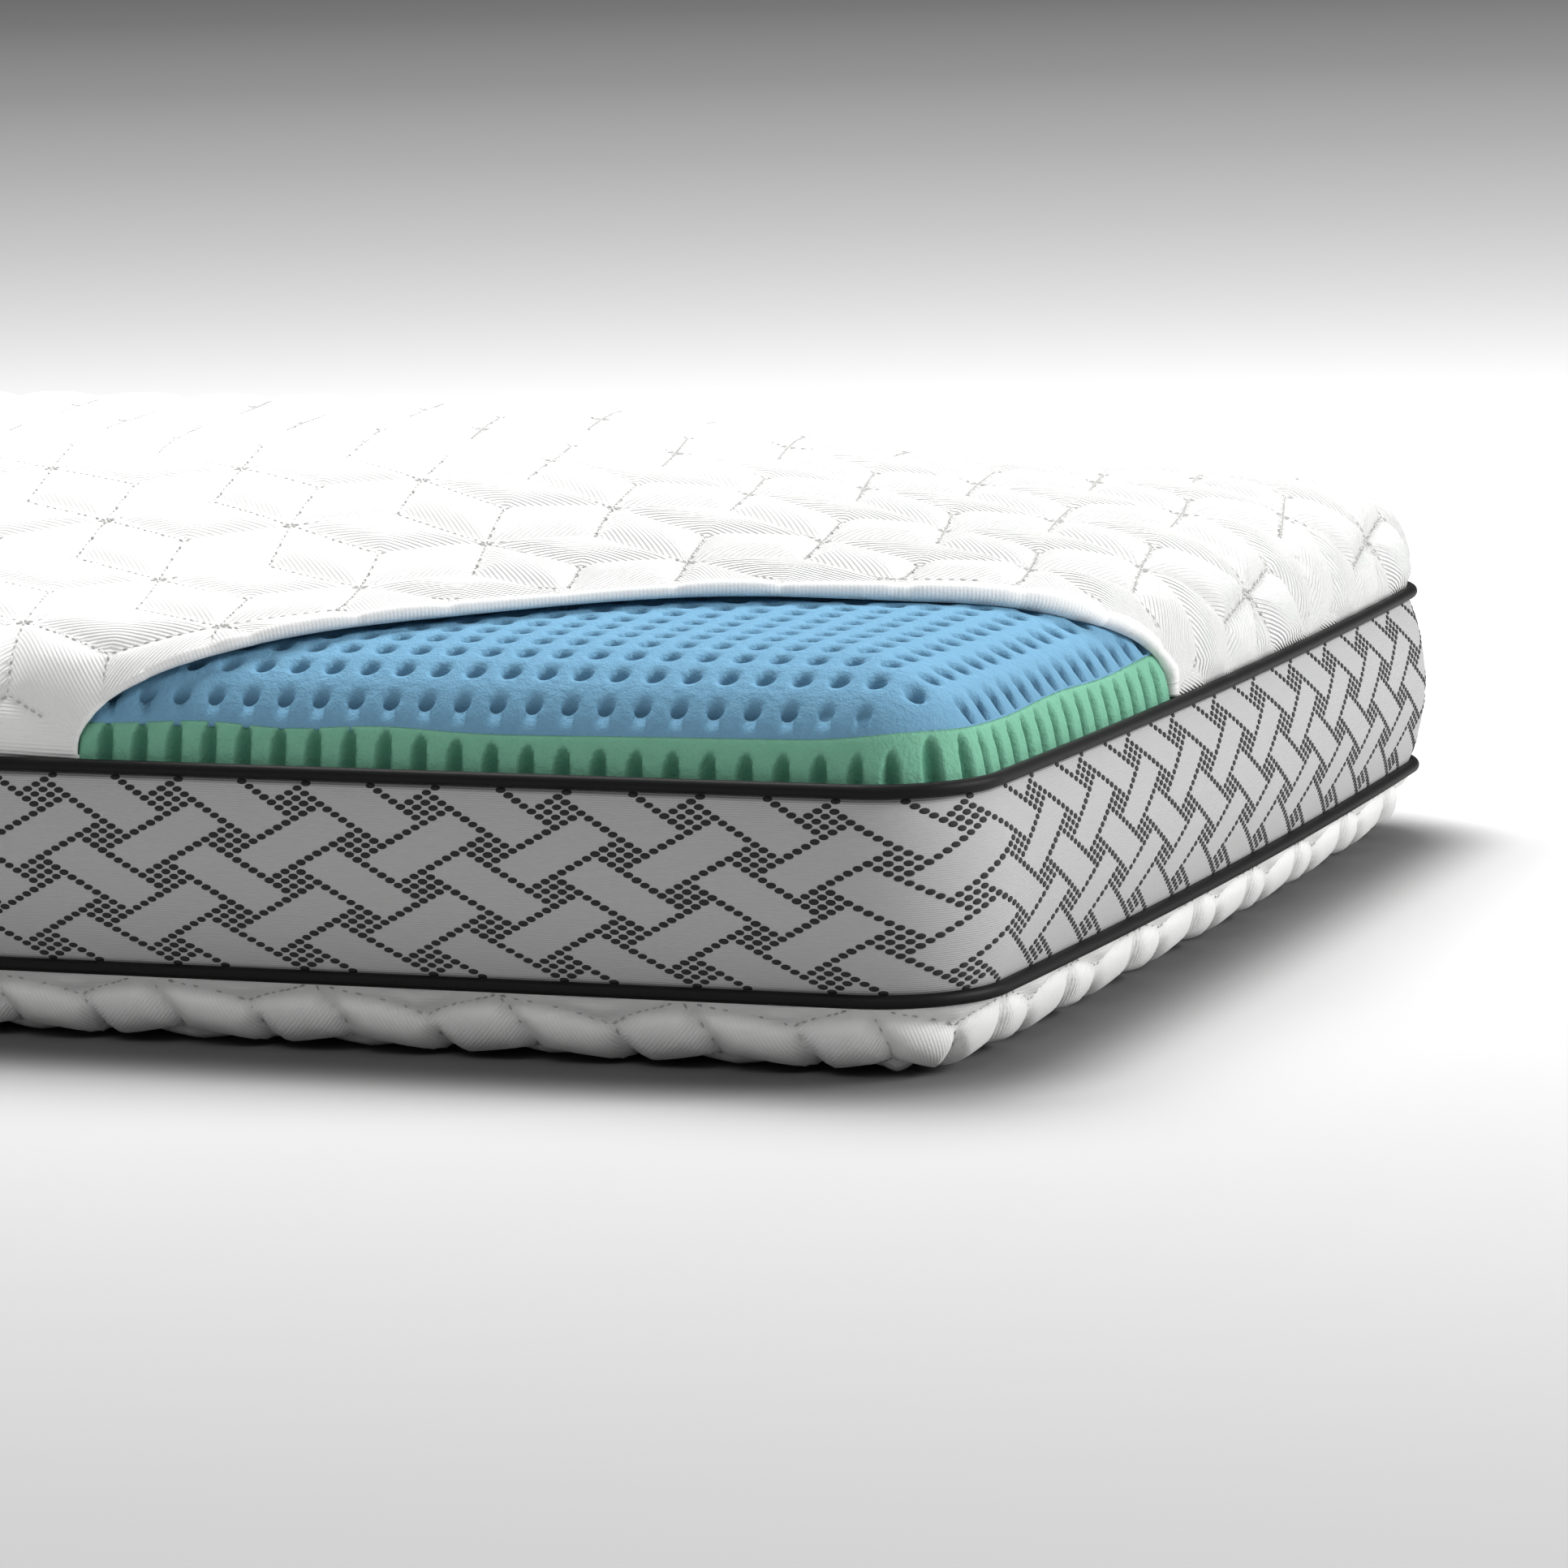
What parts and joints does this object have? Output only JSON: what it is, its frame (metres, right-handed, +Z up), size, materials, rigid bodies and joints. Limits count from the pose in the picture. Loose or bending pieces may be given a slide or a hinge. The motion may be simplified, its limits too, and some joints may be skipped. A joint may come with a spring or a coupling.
{
  "type": "memory foam mattress",
  "caption": "Quilted foam mattress with piped, dot-patterned border; one corner of the top panel is cut away over perforated comfort foam; zip along the back.",
  "frame": {"origin": "centre of the underside, on the floor", "axes": "+X along the length, +Y across the width towards the zipped long side, +Z up; the cut-away corner is at +X, -Y"},
  "size_m": [1.923, 1.008, 0.31],
  "materials": {
    "cover_white": "matte",
    "fibre_white": "matte",
    "backing_white": "matte",
    "piping_black": "satin",
    "cord_cotton": "matte",
    "border_grey": "matte",
    "foam_blue": "matte",
    "foam_green": "matte",
    "foam_support": "matte",
    "foam_base": "matte",
    "zip_tape": "matte",
    "zip_teeth": "satin",
    "zip_metal": "satin"
  },
  "bodies": {
    "mattress": {"top_cover_face": "cover_white", "top_quilt_fill": "fibre_white", "top_quilt_backing": "backing_white", "upper_piping_tape": "piping_black", "upper_piping_cord": "cord_cotton", "border_face": "border_grey", "border_padding": "fibre_white", "border_backing": "backing_white", "lower_piping_tape": "piping_black", "lower_piping_cord": "cord_cotton", "bottom_cover_face": "cover_white", "bottom_quilt_fill": "fibre_white", "bottom_quilt_backing": "backing_white", "blue_comfort_foam": "foam_blue", "green_airflow_foam": "foam_green", "support_foam": "foam_support", "base_foam": "foam_base", "zip_tape_upper": "zip_tape", "zip_tape_lower": "zip_tape", "zip_teeth_upper": "zip_teeth", "zip_teeth_lower": "zip_teeth", "zip_stops": "zip_metal"},
    "slider": {"zip_slider": "zip_metal"},
    "pull": {"zip_pull": "zip_metal"}
  },
  "joints": [
    {"name": "zip_travel", "type": "slide", "parent": "mattress", "child": "slider", "axis": [1, 0, 0], "range_m": [0, 1.55]},
    {"name": "pull_swing", "type": "hinge", "parent": "slider", "child": "pull", "pos_m": [-0.7875, 0.497, 0.06275], "axis": [0, 0, 1], "range_deg": [0, 170]}
  ]
}
